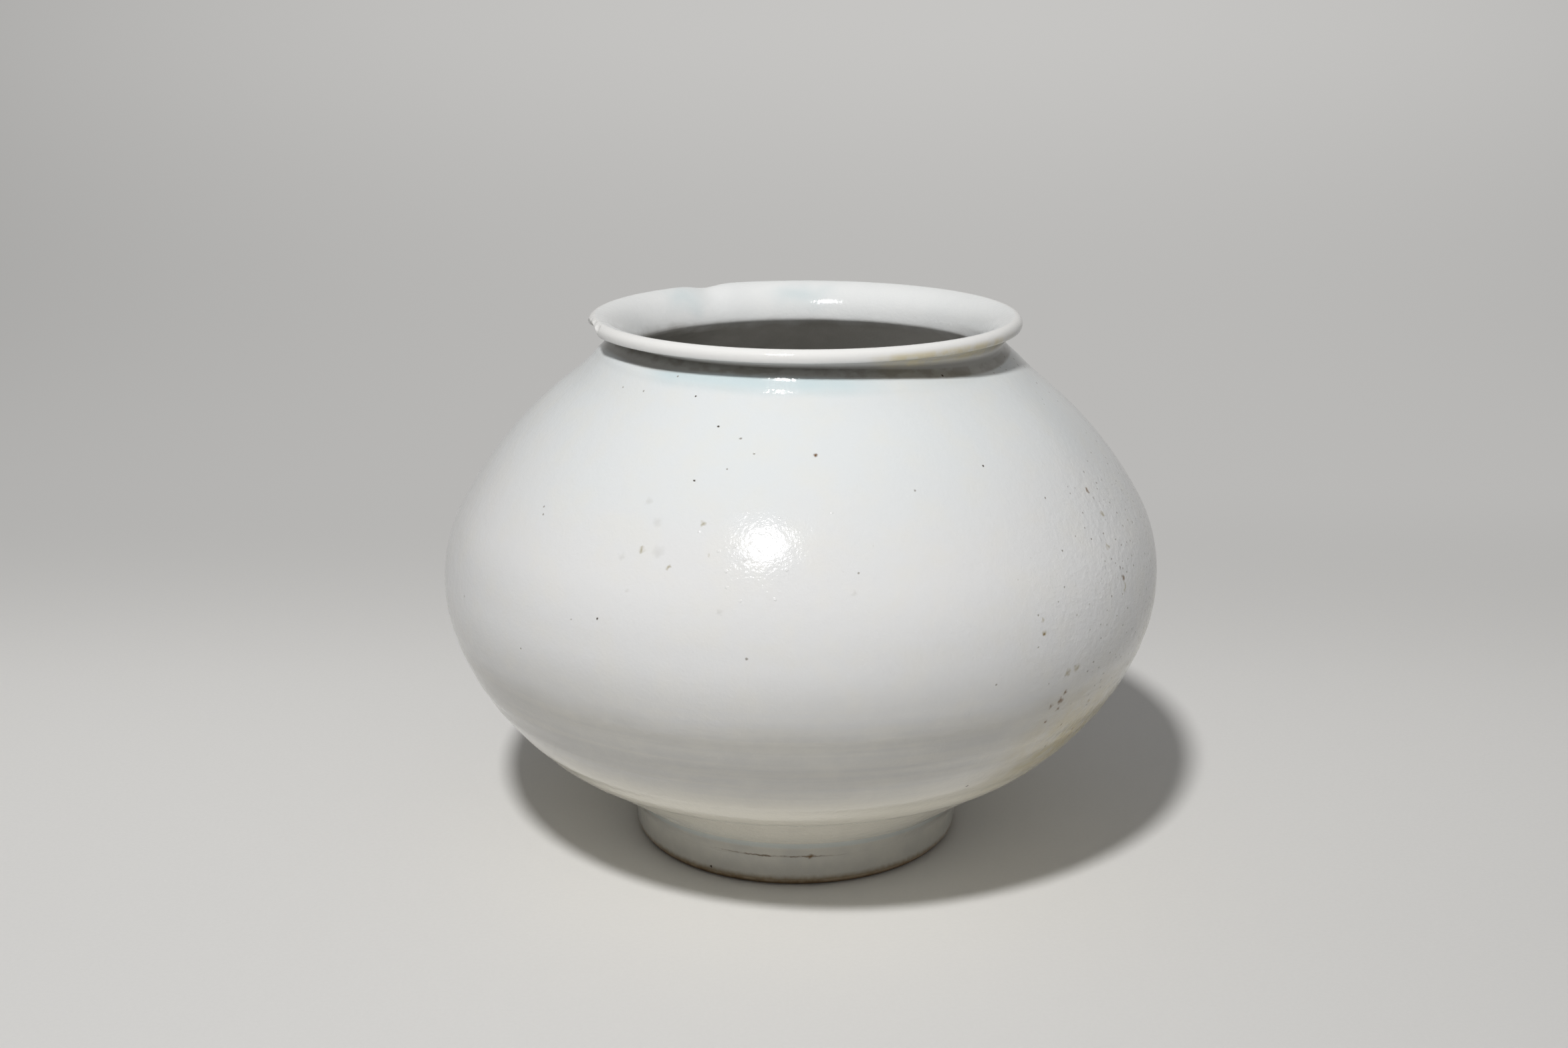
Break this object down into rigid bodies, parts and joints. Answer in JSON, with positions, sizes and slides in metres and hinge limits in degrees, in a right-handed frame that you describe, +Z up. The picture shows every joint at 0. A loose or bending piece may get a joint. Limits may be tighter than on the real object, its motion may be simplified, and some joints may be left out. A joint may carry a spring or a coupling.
{
  "type": "moon jar",
  "caption": "Round white-glazed porcelain jar with a short neck, rolled lip and low foot ring; stands upright and holds flowers, liquids or dry goods.",
  "frame": {"origin": "centre of the foot ring on the surface that the jar stands on", "axes": "+Z up along the jar's axis; +X to the right and +Y away from the picture's viewer, so the chipped place on the lip is at -X"},
  "size_m": [0.17, 0.17, 0.1278],
  "materials": {
    "porcelain_body": "white porcelain clay, fired hard, sugary where it is broken",
    "foot_porcelain": "bare porcelain clay, burnt buff-brown on the rim that the jar stands on",
    "joining_slip": "fired joining slip, stained brown where its edge lies open",
    "outer_glaze": "glossy bluish-white glaze with pinholes, iron specks and warm stains",
    "inner_glaze": "glossy bluish-white glaze, thinner and greyer inside"
  },
  "bodies": {
    "root": {"lower_bowl": "porcelain_body", "upper_bowl": "porcelain_body", "mouth_rim": "porcelain_body", "foot_ring": "foot_porcelain", "belly_seam_slip": "joining_slip", "neck_seam_slip": "joining_slip", "foot_seam_slip": "joining_slip", "outer_glaze": "outer_glaze", "inner_glaze": "inner_glaze", "foot_well_glaze": "inner_glaze"}
  },
  "joints": []
}
